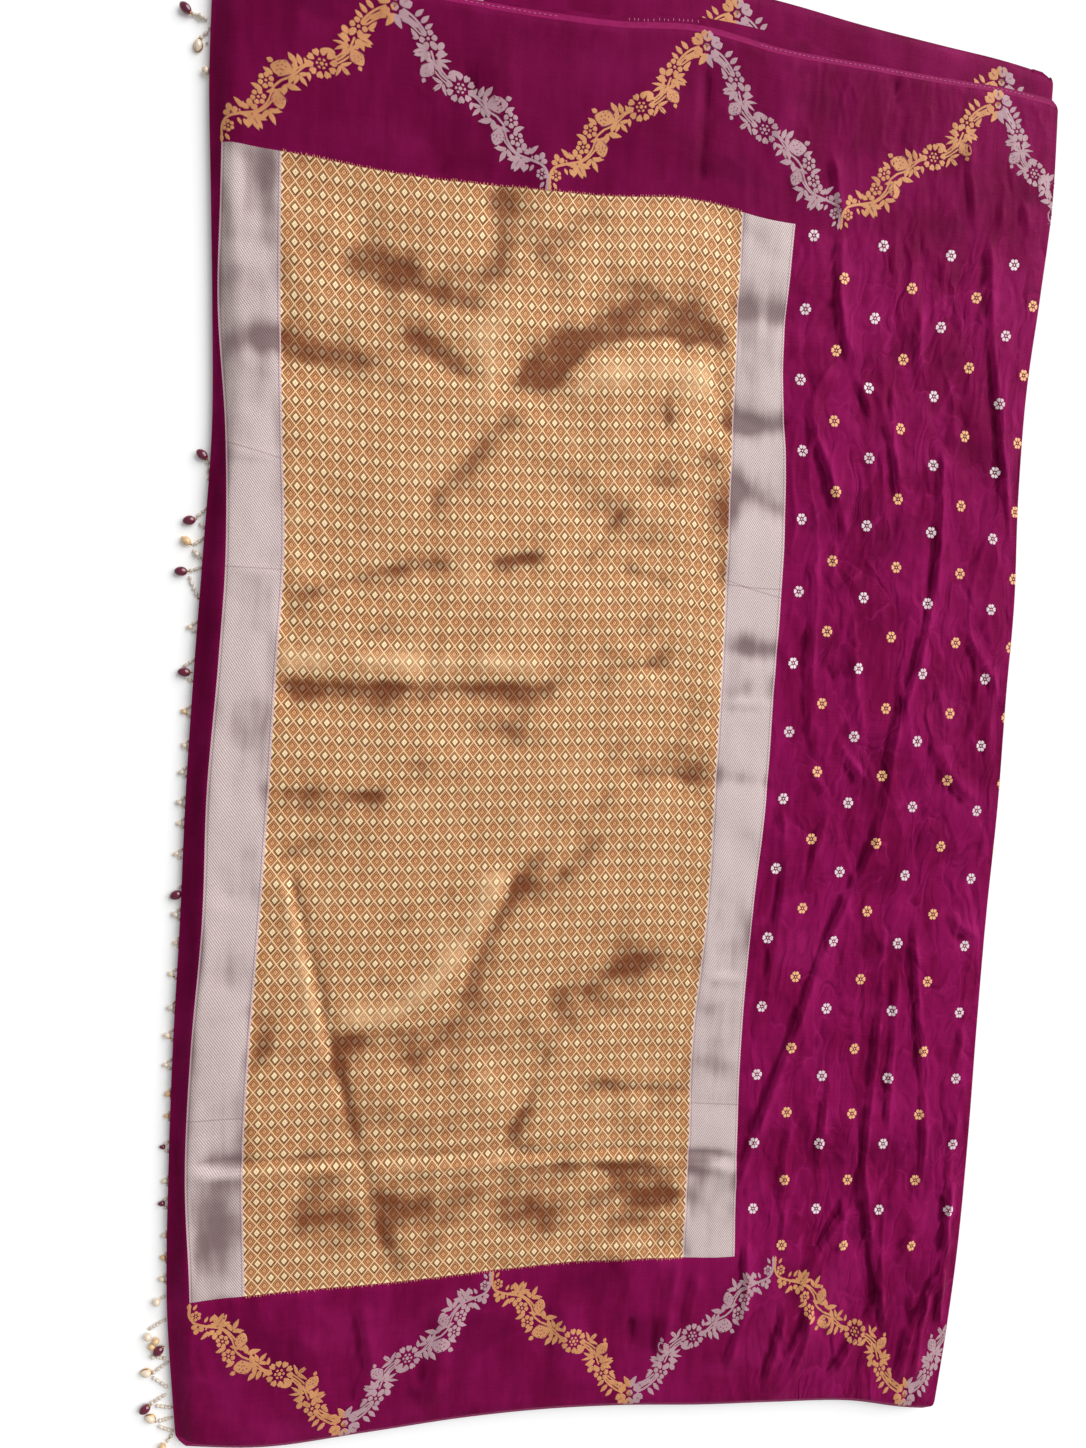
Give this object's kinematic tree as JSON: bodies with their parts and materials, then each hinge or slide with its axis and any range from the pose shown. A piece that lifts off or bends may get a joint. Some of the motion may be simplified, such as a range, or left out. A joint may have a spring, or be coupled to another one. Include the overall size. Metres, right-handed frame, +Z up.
{
  "type": "saree",
  "caption": "Silk brocade saree folded flat with its gold and silver pallu on top, flower garland borders, a small-flower body and a bead fringe.",
  "frame": {"origin": "middle of the folded bundle's bounding box, on its underside, where it lies on a surface", "axes": "+X runs along the length of the cloth, from the loose fringed end to the body fold; +Y runs across the width of the cloth, towards the selvedge where the lower layers peep out; +Z is up, away from the surface"},
  "size_m": [0.7134, 1.2102, 0.0145],
  "materials": {
    "plum_silk": "soft satin sheen, fine crosswise slubs, many small creases",
    "selvedge_silk": "firm close weave with short pale stitches",
    "gold_zari": "metal thread brocade, diamond lattice, satin metallic",
    "silver_zari": "metal thread twill, satin metallic",
    "clear_bead": "clear and pearly seed beads on thread",
    "pearl_bead": "pearl lustre",
    "gold_bead": "polished",
    "plum_bead": "polished dark drops"
  },
  "bodies": {
    "root": {"end_strip": "plum_silk", "silver_band_end": "silver_zari", "gold_field": "gold_zari", "silver_band_body": "silver_zari", "body_ground": "plum_silk", "lower_border": "plum_silk", "upper_border": "plum_silk", "lower_selvedge": "selvedge_silk", "upper_selvedge": "selvedge_silk", "second_layer": "plum_silk", "third_layer": "plum_silk", "hidden_layers": "plum_silk", "bead_fringe": "clear_bead"}
  },
  "joints": []
}
